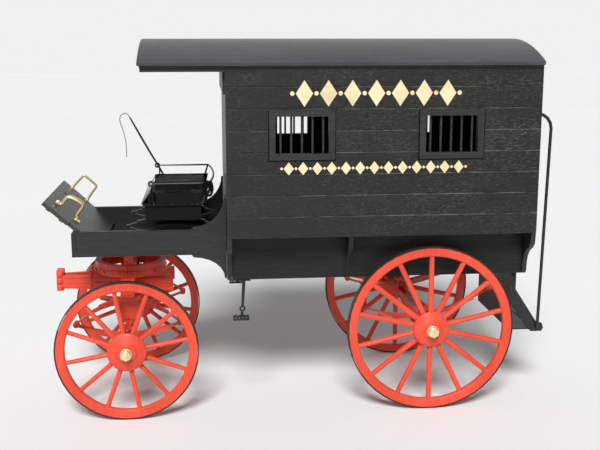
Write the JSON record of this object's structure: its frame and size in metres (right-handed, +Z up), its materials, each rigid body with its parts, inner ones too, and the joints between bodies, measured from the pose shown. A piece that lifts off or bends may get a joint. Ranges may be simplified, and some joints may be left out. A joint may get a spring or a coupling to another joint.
{
  "type": "jail wagon scale model",
  "caption": "Scale model of a closed horse-drawn jail wagon: planked cell with barred windows, open driver's seat, spoked wheels on a steering front gear.",
  "frame": {"origin": "on the ground, under the middle of the overall length and width", "axes": "+X towards the wagon's rear, -X its front, +Y its right side, +Z up"},
  "size_m": [0.3448, 0.1438, 0.2509],
  "materials": {
    "black_wood": "satin black paint over open grain",
    "roof_sheet": "matt grey black",
    "black_iron": "satin black",
    "red_paint": "semi-matt red",
    "tyre": "dark brown black",
    "brass": "polished",
    "leather": "glossy black"
  },
  "bodies": {
    "wagon": {"bench_left": "black_wood", "bench_right": "black_wood", "brake_pedal": "brass", "bulkhead": "black_wood", "canopy_frame": "black_wood", "cell_floor": "black_wood", "door_hinge_plate": "black_iron", "driver_floor": "black_wood", "driver_side_left": "black_wood", "driver_side_right": "black_wood", "driver_step_left": "black_iron", "driver_step_right": "black_iron", "front_board": "black_wood", "handrail_left": "black_iron", "handrail_right": "black_iron", "lower_side_left": "black_wood", "lower_side_right": "black_wood", "rear_axle": "red_paint", "rear_spring_left": "red_paint", "rear_spring_right": "red_paint", "rear_step": "black_wood", "rear_wall": "black_wood", "rein_loop": "brass", "roof": "roof_sheet", "seat_cushion": "leather", "seat_pan": "black_wood", "seat_rail": "black_iron", "seat_riser": "black_wood", "seat_spring_left": "black_iron", "seat_spring_right": "black_iron", "side_left": "black_wood", "side_right": "black_wood", "toe_board": "black_wood", "turntable_upper": "red_paint", "whip": "black_iron", "window_left_front": "black_wood", "window_left_rear": "black_wood", "window_right_front": "black_wood", "window_right_rear": "black_wood"},
    "front_gear": {"front_axle": "red_paint", "front_spring_left": "red_paint", "front_spring_right": "red_paint", "futchells": "red_paint", "turntable_lower": "red_paint"},
    "wheel_front_left": {"wheel_front_left": "red_paint", "tyre_front_left": "tyre", "nut_front_left": "brass"},
    "wheel_front_right": {"wheel_front_right": "red_paint", "tyre_front_right": "tyre", "nut_front_right": "brass"},
    "wheel_rear_left": {"wheel_rear_left": "red_paint", "tyre_rear_left": "tyre", "nut_rear_left": "brass"},
    "wheel_rear_right": {"wheel_rear_right": "red_paint", "tyre_rear_right": "tyre", "nut_rear_right": "brass"},
    "rear_door": {"rear_door": "black_wood"}
  },
  "joints": [
    {"name": "steering", "type": "hinge", "parent": "wagon", "child": "front_gear", "pos_m": [-0.11934, 0, 0.089], "axis": [0, 0, 1], "range_deg": [-40, 40]},
    {"name": "wheel_front_left_spin", "type": "hinge", "parent": "front_gear", "child": "wheel_front_left", "pos_m": [-0.11934, -0.0597, 0.0476], "axis": [0, 1, 0], "continuous": true},
    {"name": "wheel_front_right_spin", "type": "hinge", "parent": "front_gear", "child": "wheel_front_right", "pos_m": [-0.11934, 0.0597, 0.0476], "axis": [0, 1, 0], "continuous": true},
    {"name": "wheel_rear_left_spin", "type": "hinge", "parent": "wagon", "child": "wheel_rear_left", "pos_m": [0.08546, -0.0597, 0.05715], "axis": [0, 1, 0], "continuous": true},
    {"name": "wheel_rear_right_spin", "type": "hinge", "parent": "wagon", "child": "wheel_rear_right", "pos_m": [0.08546, 0.0597, 0.05715], "axis": [0, 1, 0], "continuous": true},
    {"name": "rear_door_swing", "type": "hinge", "parent": "wagon", "child": "rear_door", "pos_m": [0.15586, 0.0285, 0.15], "axis": [0, 0, 1], "range_deg": [0, 110]}
  ]
}
